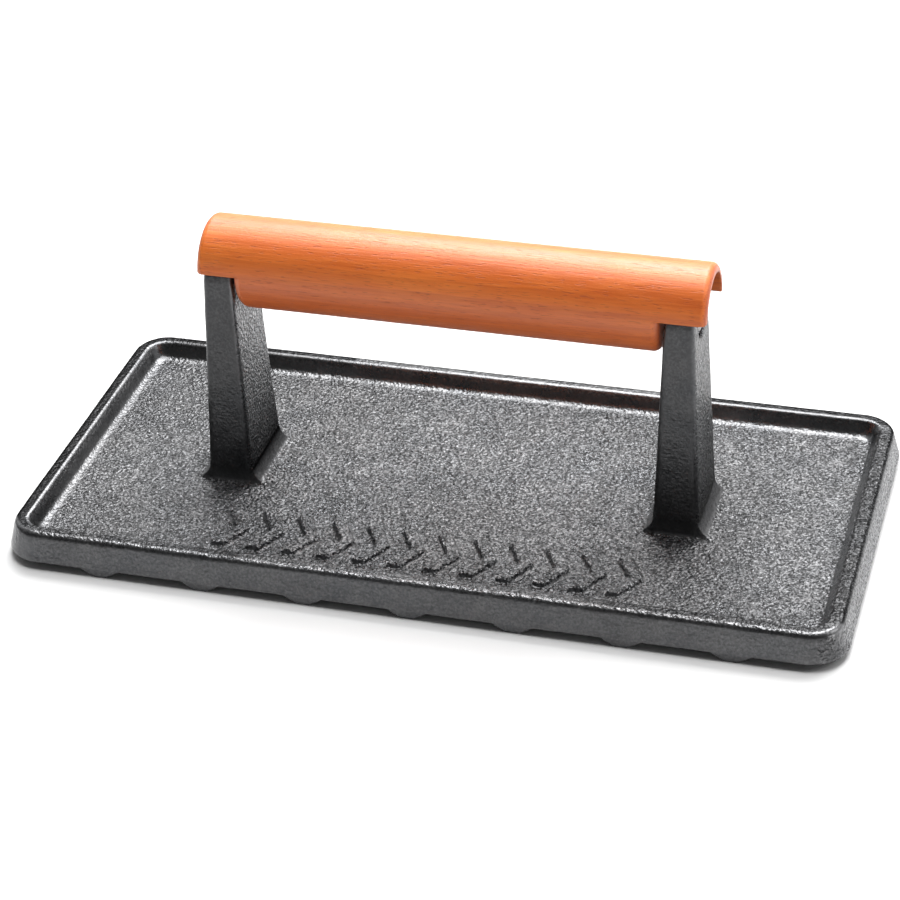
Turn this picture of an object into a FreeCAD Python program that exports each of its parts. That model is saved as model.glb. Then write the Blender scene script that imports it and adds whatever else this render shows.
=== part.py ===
import FreeCAD, Part
import math
import os
import Sketcher

# Flat griddle press: one iron casting with a raised rim, seven underside ribs
# and two standing posts; one wood grip held between the posts by two screws
# with spring washers.  Millimetres.  +X runs right along the grip, +Y to the
# back, +Z up; the origin is the middle of the resting plane (the rib bottoms).

Vector = FreeCAD.Vector
doc = FreeCAD.newDocument("griddle_press")

# ---------------------------------------------------------------- dimensions
# alias, value, note
SIZES = [
    ("plate_len", 223.8, "overall length at the foot of the side wall"),
    ("plate_wid", 108.6, "overall width at the foot of the side wall"),
    ("plate_rad", 10.9, "corner radius at the foot of the side wall"),
    ("plate_draft", 14.5, "side wall draft, degrees"),
    ("rim_z", 10.0, "top of the rim above the rib bottoms"),
    ("rim_wide", 3.5, "width of the rim top"),
    ("floor_z", 6.0, "recess floor above the rib bottoms"),
    ("wall_draft", 34.0, "recess wall draft, degrees"),
    ("rim_outer_round", 1.6, "radius along the outer rim edge"),
    ("rim_inner_round", 0.7, "radius along the inner rim edge"),
    ("floor_round", 2.4, "radius where the recess wall meets the floor"),
    ("foot_round", 0.6, "radius along the foot of the side wall"),
    ("rib_high", 1.8, "height of the underside ribs"),
    ("rib_pitch", 27.8, "spacing of the ribs"),
    ("rib_root", 10.0, "rib width where it leaves the underside"),
    ("rib_foot", 3.6, "flat width at the bottom of a rib"),
    ("rib_count", 7, "number of ribs"),
    ("rib_sink", 0.6, "how far a rib runs up into the plate"),
    ("rib_short", 0.3, "a rib is this much shorter than the plate width"),
    ("post_x", 61.0, "post centre from the middle"),
    ("post_shift", -0.25, "both posts sit this much to the right"),
    ("post_sink", 1.0, "how far the posts start under the floor"),
    ("post_half_foot", 6.3, "half thickness of a post at its sunk start"),
    ("post_half_tip", 3.65, "half thickness of a post at the height post_tip_z"),
    ("post_tip_z", 76.0, "height where post_half_tip is measured"),
    ("post_half_deep", 12.2, "half depth of a post at the floor"),
    ("post_round", 9.8, "radius of the rounded post top"),
    ("post_round_z", 64.8, "height of the centre of the rounded post top"),
    ("post_edge", 1.3, "radius along the post edges"),
    ("post_fillet", 1.2, "fillet where a post meets the floor"),
    ("flare_round", 5.0, "radius of the flare at both sides of a post foot"),
    ("flare_reach", 4.0, "how far a flare runs out over the floor"),
    ("flare_deep", 11.6, "half depth of the flares"),
    ("flare_inset", 0.05, "how far the top of a flare lies inside the post face"),
    ("flare_overlap", 2.0, "how far a flare runs on into the post"),
    ("flare_sink", 0.6, "how far a flare runs under the floor"),
    ("mark_high", 1.4, "height of the raised chevrons"),
    ("mark_pitch", 9.6, "spacing of the raised chevrons"),
    ("mark_wide", 4.3, "width of a chevron arm along the plate"),
    ("mark_deep", 16.4, "size of a chevron across the plate"),
    ("mark_lean", 4.6, "how far a chevron points to the right"),
    ("mark_y", -33.6, "middle of the row of chevrons"),
    ("mark_sink", 0.3, "how far a chevron starts under the floor"),
    ("mark_draft", 12.0, "chevron side draft, degrees"),
    ("mark_round", 0.5, "radius along the top edges of a chevron"),
    ("grip_z", 68.1, "height of the grip axis"),
    ("grip_rad", 12.0, "grip radius"),
    ("grip_len", 134.2, "overall length of the grip with its hoods"),
    ("grip_shift", 1.0, "the hoods reach this much further over the right post"),
    ("grip_end_round", 1.9, "radius along the end edges of the grip"),
    ("grip_body", 112.1, "length of the full round part between the posts"),
    ("body_shift", -0.1, "the full round part sits this much to the right"),
    ("body_corner", 2.4, "radius at the lower end corners of the full round part"),
    ("grip_roll", 4.0, "the grip is turned this many degrees about its axis"),
    ("hood_rad", 9.5, "inside radius of the hoods"),
    ("hood_cut", 0.45, "lower edge of the hoods above the grip axis, at mid width"),
    ("screw_z", 63.9, "height of the screw axis"),
    ("screw_dia", 3.5, "outside diameter of the screw thread"),
    ("screw_len", 25.0, "screw length under the head"),
    ("head_dia", 6.9, "pan head diameter"),
    ("head_high", 2.6, "pan head height"),
    ("washer_dia", 6.7, "spring washer outside diameter"),
    ("washer_bore", 3.7, "spring washer inside diameter"),
    ("washer_thick", 0.8, "spring washer thickness"),
    ("bore_dia", 4.0, "clearance hole through a post"),
    ("cbore_dia", 7.8, "counterbore for the screw head"),
    ("seat_x", 61.5, "counterbore floor from the middle"),
    ("pilot_dia", 3.56, "hole for the screw in the grip"),
    ("pilot_end", 34.5, "bottom of the screw hole from the middle"),
    ("pilot_tip", 1.0, "length of the cone at the bottom of the screw hole"),
]
sheet = doc.addObject("Spreadsheet::Sheet", "dims")
size = {}
for row, (alias, value, note) in enumerate(SIZES, 1):
    sheet.set(f"A{row}", note)
    sheet.set(f"B{row}", repr(value))
    sheet.setAlias(f"B{row}", alias)
    size[alias] = float(value)
doc.recompute()

SIDES = ((-1, "l"), (1, "r"))   # left and right, with the tag used in names
ORIGIN = (-1, 1)                # sketch origin as (geometry, point)
H_AXIS = -1                     # sketch axes as geometry numbers
V_AXIS = -2


# ------------------------------------------------------------ sketch helpers
def new_body(name):
    body = doc.addObject("PartDesign::Body", name)
    body.Label = name
    return body


def origin_feature(body, role):
    for feature in body.Origin.OriginFeatures:
        if feature.Role == role:
            return feature
    raise RuntimeError("no origin feature " + role)


def new_sketch(body, name, role, axis=None, offset=0.0, expr=None, turn=0.0):
    """Sketch on an origin plane, moved along one of its own axes and turned
    about its own x axis by some degrees."""
    sketch = body.newObject("Sketcher::SketchObject", name)
    sketch.AttachmentSupport = [(origin_feature(body, role), "")]
    sketch.MapMode = "FlatFace"
    if axis:
        base = Vector(0, 0, 0)
        setattr(base, axis, offset)
        rotation = FreeCAD.Rotation(Vector(1, 0, 0), turn)
        sketch.AttachmentOffset = FreeCAD.Placement(base, rotation)
        sketch.setExpression("AttachmentOffset.Base." + axis, expr)
    return sketch


def add_line(sketch, start, end):
    return sketch.addGeometry(Part.LineSegment(Vector(*start, 0), Vector(*end, 0)), False)


def circle(centre, radius):
    return Part.Circle(Vector(*centre, 0), Vector(0, 0, 1), radius)


def add_arc(sketch, centre, radius, start, end):
    return sketch.addGeometry(Part.ArcOfCircle(circle(centre, radius), start, end), False)


def constrain(sketch, kind, *args):
    return sketch.addConstraint(Sketcher.Constraint(kind, *args))


def constrain_each(sketch, kind, lines):
    for line in lines:
        constrain(sketch, kind, line)


def chain(sketch, lines):
    """Join each line's end to the start of the next."""
    for line, following in zip(lines[:-1], lines[1:]):
        constrain(sketch, "Coincident", line, 2, following, 1)


def polygon(sketch, points):
    """Closed polygon; line i starts at point i."""
    lines = [add_line(sketch, start, end)
             for start, end in zip(points, points[1:] + points[:1])]
    chain(sketch, lines + lines[:1])
    return lines


def mirrored(points, side):
    """Points drawn for the right side, flipped when side is -1."""
    return [(side * x, y) for x, y in points]


def dimension(sketch, kind, args, value, name, expr=None):
    """Named dimension, bound to the spreadsheet when an expression is given."""
    index = constrain(sketch, kind, *args, value)
    sketch.renameConstraint(index, name)
    if expr:
        sketch.setExpression("Constraints." + name, expr)


def place(sketch, axis, point, value, name, expr=None):
    """Distance of a point from the origin along X or Y; expr is without sign."""
    ends = (*ORIGIN, *point) if value > 0 else (*point, *ORIGIN)
    dimension(sketch, "Distance" + axis, ends, abs(value), name, expr)


def sign(number):
    return "+" if number > 0 else "-"


def rounded_rect(sketch, half_len, half_wid, radius, len_expr, wid_expr, radius_expr):
    """Rounded rectangle centred on the sketch origin."""
    in_x, in_y = half_len - radius, half_wid - radius
    quarter = math.pi / 2
    # front, right, back, left
    lines = [add_line(sketch, start, end) for start, end in (
        ((-in_x, -half_wid), (in_x, -half_wid)),
        ((half_len, -in_y), (half_len, in_y)),
        ((in_x, half_wid), (-in_x, half_wid)),
        ((-half_len, in_y), (-half_len, -in_y)))]
    # each arc follows the line of the same number
    arcs = [add_arc(sketch, centre, radius, turns * quarter, (turns + 1) * quarter)
            for centre, turns in (((in_x, -in_y), 3), ((in_x, in_y), 0),
                                  ((-in_x, in_y), 1), ((-in_x, -in_y), 2))]
    for i in range(4):
        constrain(sketch, "Tangent", lines[i], 2, arcs[i], 1)
        constrain(sketch, "Tangent", arcs[i], 2, lines[(i + 1) % 4], 1)
    constrain_each(sketch, "Horizontal", lines[0::2])
    constrain_each(sketch, "Vertical", lines[1::2])
    for arc in arcs[1:]:
        constrain(sketch, "Equal", arcs[0], arc)
    dimension(sketch, "Radius", [arcs[0]], radius, "corner", radius_expr)
    place(sketch, "X", (lines[1], 1), half_len, "right", len_expr)
    place(sketch, "Y", (lines[2], 1), half_wid, "back", wid_expr)
    place(sketch, "X", (lines[3], 1), -half_len, "left", len_expr)
    place(sketch, "Y", (lines[0], 1), -half_wid, "front", wid_expr)


# ----------------------------------------------------------- feature helpers
def finish(feature, base):
    """Recompute; a pad has to add to its base, a pocket or groove to cut it."""
    doc.recompute()
    if base is None:
        return
    change = feature.Shape.Volume - base.Shape.Volume
    if feature.TypeId in ("PartDesign::Pocket", "PartDesign::Groove"):
        change = -change
    if change <= 1e-6:
        raise RuntimeError(feature.Name + " changed nothing")


def extrude(body, kind, name, sketch, length, expr=None, taper=0.0, taper_expr=None,
            symmetric=False, backward=False):
    """Pad or Pocket of a sketch."""
    doc.recompute()
    base = body.Tip
    feature = body.newObject("PartDesign::" + kind, name)
    feature.Profile = sketch
    feature.Length = length
    if expr:
        feature.setExpression("Length", expr)
    if taper:
        feature.TaperAngle = taper
    if taper_expr:
        feature.setExpression("TaperAngle", taper_expr)
    if symmetric:
        feature.SideType = "Symmetric"
    if backward:
        feature.Reversed = True
    finish(feature, base)
    return feature


def revolve(body, kind, name, sketch):
    """Revolution or Groove, a full turn about the sketch's x axis."""
    doc.recompute()
    base = body.Tip
    feature = body.newObject("PartDesign::" + kind, name)
    feature.Profile = sketch
    feature.ReferenceAxis = (sketch, ["H_Axis"])
    feature.Angle = 360
    finish(feature, base)


def middle(edge):
    return edge.valueAt(0.5 * (edge.FirstParameter + edge.LastParameter))


def lies_flat_at(edge, z):
    return (all(abs(vertex.Z - z) < 1e-4 for vertex in edge.Vertexes)
            and abs(middle(edge).z - z) < 1e-4)


def fillet(body, name, alias, test):
    """Round the edges of the body so far that pass the test."""
    base = body.Tip
    edges = [f"Edge{i}" for i, edge in enumerate(base.Shape.Edges, 1) if test(edge)]
    if not edges:
        raise RuntimeError(name + ": no edges found")
    feature = body.newObject("PartDesign::Fillet", name)
    feature.Base = (base, edges)
    feature.Radius = size[alias]
    feature.setExpression("Radius", "dims." + alias)
    doc.recompute()


# ------------------------------------------------------------------- casting
def add_plate(body):
    """Slab with drafted side wall, sunk recess and softened edges."""
    rim_z, floor_z, rib_high = size["rim_z"], size["floor_z"], size["rib_high"]
    sketch = new_sketch(body, "slab_outline", "XY_Plane", "z", rib_high, "dims.rib_high")
    rounded_rect(sketch, size["plate_len"] / 2, size["plate_wid"] / 2, size["plate_rad"],
                 "dims.plate_len / 2", "dims.plate_wid / 2", "dims.plate_rad")
    extrude(body, "Pad", "slab", sketch, rim_z - rib_high, "dims.rim_z - dims.rib_high",
            taper=-size["plate_draft"], taper_expr="-dims.plate_draft")

    # the recess starts inside the rim, whose outer edge the draft moves inward
    inward = ((rim_z - rib_high) * math.tan(math.radians(size["plate_draft"]))
              + size["rim_wide"])
    inward_expr = ("((dims.rim_z - dims.rib_high) * tan(dims.plate_draft * 1deg)"
                   " + dims.rim_wide)")
    half_len = size["plate_len"] / 2 - inward
    half_wid = size["plate_wid"] / 2 - inward
    sketch = new_sketch(body, "recess_outline", "XY_Plane", "z", rim_z, "dims.rim_z")
    rounded_rect(sketch, half_len, half_wid, size["plate_rad"] - inward,
                 "dims.plate_len / 2 - " + inward_expr,
                 "dims.plate_wid / 2 - " + inward_expr,
                 "dims.plate_rad - " + inward_expr)
    extrude(body, "Pocket", "recess", sketch, rim_z - floor_z, "dims.rim_z - dims.floor_z",
            taper=-size["wall_draft"], taper_expr="-dims.wall_draft")

    def outside_recess(edge, margin):
        point = middle(edge)
        return abs(point.x) > half_len + margin or abs(point.y) > half_wid + margin

    fillet(body, "rim_outer_edge", "rim_outer_round",
           lambda edge: lies_flat_at(edge, rim_z) and outside_recess(edge, 1.0))
    fillet(body, "rim_inner_edge", "rim_inner_round",
           lambda edge: lies_flat_at(edge, rim_z) and not outside_recess(edge, 0.3))
    fillet(body, "recess_floor_edge", "floor_round",
           lambda edge: lies_flat_at(edge, floor_z))
    fillet(body, "foot_edge", "foot_round", lambda edge: lies_flat_at(edge, rib_high))


def add_ribs(body):
    """Ribs across the underside: one trapezoid at the left end, repeated."""
    high, sink = size["rib_high"], size["rib_sink"]
    root, foot = size["rib_root"] / 2, size["rib_foot"] / 2
    first_x = -(size["rib_count"] - 1) / 2 * size["rib_pitch"]
    sketch = new_sketch(body, "rib_profile", "XZ_Plane")
    lines = polygon(sketch, [
        (first_x - root, high + sink), (first_x - root, high), (first_x - foot, 0.0),
        (first_x + foot, 0.0), (first_x + root, high), (first_x + root, high + sink)])
    constrain_each(sketch, "Vertical", [lines[0], lines[4]])
    constrain_each(sketch, "Horizontal", [lines[2], lines[5]])
    constrain(sketch, "Equal", lines[0], lines[4])
    place(sketch, "X", (lines[2], 1), first_x - foot, "place",
          "(dims.rib_count - 1) / 2 * dims.rib_pitch + dims.rib_foot / 2")
    constrain(sketch, "PointOnObject", lines[2], 1, H_AXIS)
    dimension(sketch, "DistanceX", [lines[2], 1, lines[2], 2], 2 * foot, "foot",
              "dims.rib_foot")
    dimension(sketch, "DistanceX", [lines[1], 1, lines[3], 2], 2 * root, "root",
              "dims.rib_root")
    dimension(sketch, "DistanceX", [lines[1], 1, lines[2], 1], root - foot, "flank",
              "(dims.rib_root - dims.rib_foot) / 2")
    place(sketch, "Y", (lines[1], 1), high, "height", "dims.rib_high")
    dimension(sketch, "DistanceY", [lines[0], 2, lines[0], 1], sink, "overlap",
              "dims.rib_sink")
    rib = extrude(body, "Pad", "rib", sketch, size["plate_wid"] - size["rib_short"],
                  "dims.plate_wid - dims.rib_short", symmetric=True)

    ribs = body.newObject("PartDesign::LinearPattern", "ribs")
    ribs.Originals = [rib]
    ribs.Direction = (origin_feature(body, "X_Axis"), [""])
    ribs.Length = size["rib_pitch"] * (size["rib_count"] - 1)
    ribs.setExpression("Length", "dims.rib_pitch * (dims.rib_count - 1)")
    ribs.Occurrences = int(size["rib_count"])
    ribs.setExpression("Occurrences", "dims.rib_count")
    body.Tip = ribs   # a new pattern does not become the tip by itself
    finish(ribs, rib)


def post_centre(side):
    """Post centre in X, and the expression for its distance from the middle."""
    centre = side * size["post_x"] + size["post_shift"]
    return centre, f"dims.post_x {sign(side)} dims.post_shift"


def near_post(edge):
    point = middle(edge)
    return 50 < abs(point.x) < 72 and abs(point.y) < 16


def add_posts(body):
    """Both posts: tapered in thickness, padded across, trimmed to a round top."""
    pad_deep = 32.0          # depth before trimming
    trim_half_deep = 17.0    # outer border of the material trimmed away
    trim_top = 92.0
    trim_length = 150.0      # spans both posts
    floor_z = size["floor_z"]

    half_foot, half_tip = size["post_half_foot"], size["post_half_tip"]
    start_z, tip_z = floor_z - size["post_sink"], size["post_tip_z"]
    sketch = new_sketch(body, "post_thickness", "XZ_Plane")
    for side, tag in SIDES:
        centre, centre_expr = post_centre(side)
        foot, _, tip, _ = polygon(sketch, [
            (centre - half_foot, start_z), (centre + half_foot, start_z),
            (centre + half_tip, tip_z), (centre - half_tip, tip_z)])
        constrain_each(sketch, "Horizontal", [foot, tip])
        dimension(sketch, "DistanceX", [foot, 1, foot, 2], 2 * half_foot, "foot_" + tag,
                  "2 * dims.post_half_foot")
        dimension(sketch, "DistanceX", [tip, 2, tip, 1], 2 * half_tip, "tip_" + tag,
                  "2 * dims.post_half_tip")
        dimension(sketch, "DistanceX", [foot, 1, tip, 2], half_foot - half_tip,
                  "lean_" + tag, "dims.post_half_foot - dims.post_half_tip")
        place(sketch, "Y", (foot, 1), start_z, "base_" + tag,
              "dims.floor_z - dims.post_sink")
        place(sketch, "Y", (tip, 1), tip_z, "top_" + tag, "dims.post_tip_z")
        place(sketch, "X", (foot, 1), centre - half_foot, "at_" + tag,
              f"{centre_expr} {sign(-side)} dims.post_half_foot")
    extrude(body, "Pad", "posts", sketch, pad_deep, symmetric=True)

    # material outside the post outline: straight sides tangent to the round top
    radius, round_z = size["post_round"], size["post_round_z"]
    half_deep = size["post_half_deep"]
    foot_distance = math.hypot(half_deep, round_z - floor_z)
    angle = math.atan2(floor_z - round_z, half_deep) + math.acos(radius / foot_distance)
    tangent_y = radius * math.cos(angle)
    tangent_z = round_z + radius * math.sin(angle)
    path = [(-half_deep, floor_z), (-trim_half_deep, floor_z), (-trim_half_deep, trim_top),
            (trim_half_deep, trim_top), (trim_half_deep, floor_z), (half_deep, floor_z),
            (tangent_y, tangent_z)]
    sketch = new_sketch(body, "post_outline", "YZ_Plane")
    lines = [add_line(sketch, start, end) for start, end in zip(path[:-1], path[1:])]
    arc = add_arc(sketch, (0, round_z), radius, angle, math.pi - angle)
    last = add_line(sketch, (-tangent_y, tangent_z), path[0])
    chain(sketch, lines)
    constrain(sketch, "Tangent", lines[5], 2, arc, 1)
    constrain(sketch, "Tangent", arc, 2, last, 1)
    constrain(sketch, "Coincident", last, 2, lines[0], 1)
    constrain_each(sketch, "Horizontal", [lines[0], lines[2]])
    constrain_each(sketch, "Vertical", [lines[1], lines[3]])
    constrain(sketch, "PointOnObject", arc, 3, V_AXIS)
    constrain(sketch, "Symmetric", lines[0], 1, lines[4], 2, V_AXIS)
    constrain(sketch, "Symmetric", lines[1], 1, lines[3], 2, V_AXIS)
    dimension(sketch, "Radius", [arc], radius, "top_round", "dims.post_round")
    place(sketch, "Y", (arc, 3), round_z, "top_centre", "dims.post_round_z")
    dimension(sketch, "DistanceX", [lines[0], 1, lines[4], 2], 2 * half_deep,
              "foot_depth", "2 * dims.post_half_deep")
    place(sketch, "Y", (lines[4], 2), floor_z, "foot_height", "dims.floor_z")
    dimension(sketch, "DistanceX", [lines[2], 1, lines[2], 2], 2 * trim_half_deep,
              "clear_wide")
    place(sketch, "Y", (lines[2], 1), trim_top, "clear_high")
    extrude(body, "Pocket", "post_trim", sketch, trim_length, symmetric=True)

    def on_post_border(edge):
        point = middle(edge)
        off_centre = abs(abs(point.x - size["post_shift"]) - size["post_x"])
        return point.z > floor_z + 1.0 and near_post(edge) and off_centre > 1.0

    fillet(body, "post_edges", "post_edge", on_post_border)
    fillet(body, "post_foot_fillet", "post_fillet",
           lambda edge: lies_flat_at(edge, floor_z) and near_post(edge))


def add_flares(body):
    """Concave flares at the left and right side of each post foot."""
    floor_z, radius, reach = size["floor_z"], size["flare_round"], size["flare_reach"]
    overlap, low_z = size["flare_overlap"], floor_z - size["flare_sink"]
    high_z = floor_z + radius
    high_expr = "dims.floor_z + dims.flare_round"
    # half thickness of the post at the top of a flare, less the inset
    slope = ((size["post_half_foot"] - size["post_half_tip"])
             / (size["post_tip_z"] - floor_z + size["post_sink"]))
    half = (size["post_half_foot"] - slope * (radius + size["post_sink"])
            - size["flare_inset"])
    half_expr = ("(dims.post_half_foot - (dims.post_half_foot - dims.post_half_tip) / "
                 "(dims.post_tip_z - dims.floor_z + dims.post_sink) * "
                 "(dims.flare_round + dims.post_sink) - dims.flare_inset)")
    drop = math.sqrt(radius ** 2 - (radius - reach) ** 2)
    sweep = math.atan2(drop, radius - reach)

    sketch = new_sketch(body, "foot_flares", "XZ_Plane")
    for side, side_tag in SIDES:
        centre, centre_expr = post_centre(side)
        for face, face_tag in ((-1, "a"), (1, "b")):
            tag = side_tag + face_tag
            inner_x = centre + face * (half - overlap)
            face_x = centre + face * half
            outer_x = centre + face * (half + reach)
            arc_x = centre + face * (half + radius)
            bottom = add_line(sketch, (inner_x, low_z), (outer_x, low_z))
            outer = add_line(sketch, (outer_x, low_z), (outer_x, high_z - drop))
            # the arc runs counterclockwise, so its lower end depends on the face
            if face > 0:
                start, end = math.pi, math.pi + sweep
                arc_low, arc_high = 2, 1
            else:
                start, end = 2 * math.pi - sweep, 2 * math.pi
                arc_low, arc_high = 1, 2
            arc = add_arc(sketch, (arc_x, high_z), radius, start, end)
            top = add_line(sketch, (face_x, high_z), (inner_x, high_z))
            inner = add_line(sketch, (inner_x, high_z), (inner_x, low_z))
            chain(sketch, [bottom, outer])
            constrain(sketch, "Coincident", outer, 2, arc, arc_low)
            constrain(sketch, "Coincident", arc, arc_high, top, 1)
            chain(sketch, [top, inner, bottom])
            constrain_each(sketch, "Horizontal", [bottom, top])
            constrain_each(sketch, "Vertical", [outer, inner])
            dimension(sketch, "Radius", [arc], radius, "round_" + tag, "dims.flare_round")
            place(sketch, "Y", (bottom, 1), low_z, "under_" + tag,
                  "dims.floor_z - dims.flare_sink")
            place(sketch, "Y", (inner, 1), high_z, "over_" + tag, high_expr)
            place(sketch, "Y", (arc, 3), high_z, "centre_" + tag, high_expr)
            for point, x, name, extra in (
                    ((inner, 1), inner_x, "in_", "- dims.flare_overlap"),
                    ((outer, 1), outer_x, "out_", "+ dims.flare_reach"),
                    ((arc, 3), arc_x, "mid_", "+ dims.flare_round")):
                place(sketch, "X", point, x, name + tag,
                      f"{centre_expr} {sign(face * side)} ({half_expr} {extra})")
    extrude(body, "Pad", "post_foot_flares", sketch, 2 * size["flare_deep"],
            "2 * dims.flare_deep", symmetric=True)


def add_chevrons(body):
    """Row of raised chevrons on the recess floor, in front of the posts."""
    count = 12
    wide, lean, mark_y = size["mark_wide"], size["mark_lean"], size["mark_y"]
    front_y = mark_y - size["mark_deep"] / 2
    back_y = mark_y + size["mark_deep"] / 2
    sketch = new_sketch(body, "chevron_row", "XY_Plane", "z",
                        size["floor_z"] - size["mark_sink"],
                        "dims.floor_z - dims.mark_sink")
    for i in range(count):
        step = i - (count - 1) / 2
        tag = f"_{i + 1}"
        left = step * size["mark_pitch"] - (wide + lean) / 2
        left_expr = f"({step:g} * dims.mark_pitch - (dims.mark_wide + dims.mark_lean) / 2)"
        if left < 0:
            left_expr = "-" + left_expr
        lines = polygon(sketch, [
            (left, front_y), (left + wide, front_y), (left + wide + lean, mark_y),
            (left + wide, back_y), (left, back_y), (left + lean, mark_y)])
        front, back, notch = lines[0], lines[3], lines[5]
        constrain_each(sketch, "Horizontal", [front, back])
        place(sketch, "X", (front, 1), left, "left" + tag, left_expr)
        place(sketch, "X", (lines[4], 1), left, "leftback" + tag, left_expr)
        for name, ends, value, alias in (
                ("wide", (front, 1, front, 2), wide, "mark_wide"),
                ("wideback", (back, 2, back, 1), wide, "mark_wide"),
                ("lean", (front, 1, notch, 1), lean, "mark_lean"),
                ("leanright", (front, 2, lines[1], 2), lean, "mark_lean")):
            dimension(sketch, "DistanceX", ends, value, name + tag, "dims." + alias)
        place(sketch, "Y", (front, 1), front_y, "front" + tag,
              "dims.mark_deep / 2 - dims.mark_y")
        place(sketch, "Y", (back, 1), back_y, "back" + tag,
              "-(dims.mark_y + dims.mark_deep / 2)")
        place(sketch, "Y", (notch, 1), mark_y, "notch" + tag, "-dims.mark_y")
        place(sketch, "Y", (lines[1], 2), mark_y, "point" + tag, "-dims.mark_y")
    extrude(body, "Pad", "chevrons", sketch, size["mark_high"] + size["mark_sink"],
            "dims.mark_high + dims.mark_sink",
            taper=-size["mark_draft"], taper_expr="-dims.mark_draft")
    top_z = size["floor_z"] + size["mark_high"]
    fillet(body, "chevron_edges", "mark_round", lambda edge: lies_flat_at(edge, top_z))


def cut_screw_bores(body):
    """Screw hole and counterbore in both posts."""
    start_x, open_x = 54.0, 70.0    # clear of the post on both faces
    seat_x = size["seat_x"]
    bore, cbore = size["bore_dia"] / 2, size["cbore_dia"] / 2
    sketch = new_sketch(body, "screw_bore", "XZ_Plane", "y", size["screw_z"],
                        "dims.screw_z")
    for side, tag in SIDES:
        lines = polygon(sketch, mirrored([
            (start_x, 0), (start_x, bore), (seat_x, bore),
            (seat_x, cbore), (open_x, cbore), (open_x, 0)], side))
        constrain_each(sketch, "Vertical", lines[0::2])
        constrain_each(sketch, "Horizontal", lines[1::2])
        constrain(sketch, "PointOnObject", lines[0], 1, H_AXIS)
        place(sketch, "X", (lines[0], 1), side * start_x, "start_" + tag)
        place(sketch, "X", (lines[2], 1), side * seat_x, "seat_" + tag, "dims.seat_x")
        place(sketch, "X", (lines[4], 1), side * open_x, "open_" + tag)
        place(sketch, "Y", (lines[1], 1), bore, "bore_" + tag, "dims.bore_dia / 2")
        place(sketch, "Y", (lines[3], 1), cbore, "cbore_" + tag, "dims.cbore_dia / 2")
    revolve(body, "Groove", "screw_bores", sketch)


def make_casting():
    body = new_body("press_casting")
    add_plate(body)
    add_ribs(body)
    add_posts(body)
    add_flares(body)
    add_chevrons(body)
    cut_screw_bores(body)
    return body


# ---------------------------------------------------------------- wood grip
def hood_rectangle(sketch, side, tag, bottom, top, top_name, top_expr):
    """Rectangle from the end of the full round part to beyond the hood;
    heights are measured from the grip axis."""
    clear_x = 72.0    # beyond both grip ends
    body_end = size["grip_body"] / 2 + side * size["body_shift"]
    lines = polygon(sketch, mirrored([
        (body_end, bottom), (clear_x, bottom), (clear_x, top), (body_end, top)], side))
    constrain_each(sketch, "Horizontal", lines[0::2])
    constrain_each(sketch, "Vertical", lines[1::2])
    if bottom == 0:
        constrain(sketch, "PointOnObject", lines[0], 1, H_AXIS)
    else:
        place(sketch, "Y", (lines[0], 1), bottom, "low_" + tag)
    place(sketch, "X", (lines[0], 1), side * body_end, "body_" + tag,
          f"dims.grip_body / 2 {sign(side)} dims.body_shift")
    place(sketch, "X", (lines[0], 2), side * clear_x, "clear_" + tag)
    place(sketch, "Y", (lines[2], 1), top, top_name + tag, top_expr)


def cut_pilot_holes(body):
    """Screw holes in the end grain."""
    mouth_x = 60.0    # outside the end of the full round part
    end_x, radius = size["pilot_end"], size["pilot_dia"] / 2
    tip_x = end_x - size["pilot_tip"]
    sketch = new_sketch(body, "pilot_profile", "XZ_Plane", "y", size["screw_z"],
                        "dims.screw_z")
    for side, tag in SIDES:
        lines = polygon(sketch, mirrored(
            [(tip_x, 0), (mouth_x, 0), (mouth_x, radius), (end_x, radius)], side))
        constrain_each(sketch, "Horizontal", lines[0::2])
        constrain(sketch, "Vertical", lines[1])
        constrain(sketch, "PointOnObject", lines[0], 1, H_AXIS)
        place(sketch, "X", (lines[3], 1), side * end_x, "end_" + tag, "dims.pilot_end")
        place(sketch, "X", (lines[0], 2), side * mouth_x, "mouth_" + tag)
        place(sketch, "X", (lines[0], 1), side * tip_x, "tip_" + tag,
              "dims.pilot_end - dims.pilot_tip")
        place(sketch, "Y", (lines[2], 1), radius, "radius_" + tag, "dims.pilot_dia / 2")
    revolve(body, "Groove", "pilot_holes", sketch)


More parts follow.
